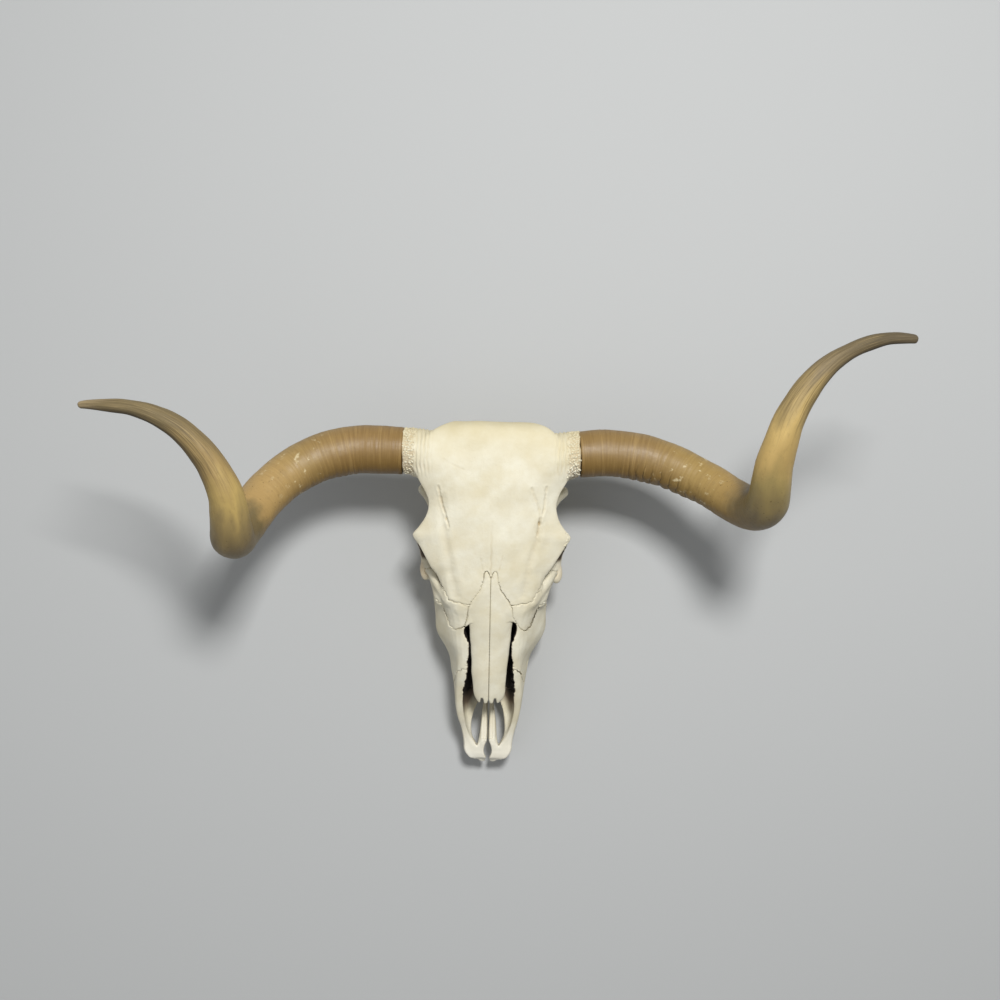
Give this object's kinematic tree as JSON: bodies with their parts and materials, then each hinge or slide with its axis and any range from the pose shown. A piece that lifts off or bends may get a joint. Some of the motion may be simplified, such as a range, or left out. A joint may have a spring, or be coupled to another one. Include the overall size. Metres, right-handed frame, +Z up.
{
  "type": "longhorn steer skull",
  "caption": "Bleached longhorn steer skull with its two wide, twisted horns, lying face up on its cheek teeth and the bony points by its neck joint.",
  "frame": {"origin": "middle of the bounding box at the floor", "axes": "+X to the animal's left, out along its left horn; +Y from the nose to the back of the head; +Z up, out of the forehead"},
  "size_m": [1.0924, 0.631, 0.3957],
  "materials": {
    "bleached_bone": "dry bleached bone, matt, with fine pores",
    "horn_keratin": "boiled and waxed horn, satin gloss"
  },
  "bodies": {
    "root": {"cranium": "bleached_bone", "nasal_left": "bleached_bone", "nasal_right": "bleached_bone", "premaxilla_left": "bleached_bone", "premaxilla_right": "bleached_bone", "maxilla_left": "bleached_bone", "maxilla_right": "bleached_bone", "lacrimal_left": "bleached_bone", "lacrimal_right": "bleached_bone", "zygomatic_left": "bleached_bone", "zygomatic_right": "bleached_bone", "horn_left": "horn_keratin", "horn_right": "horn_keratin"}
  },
  "joints": []
}
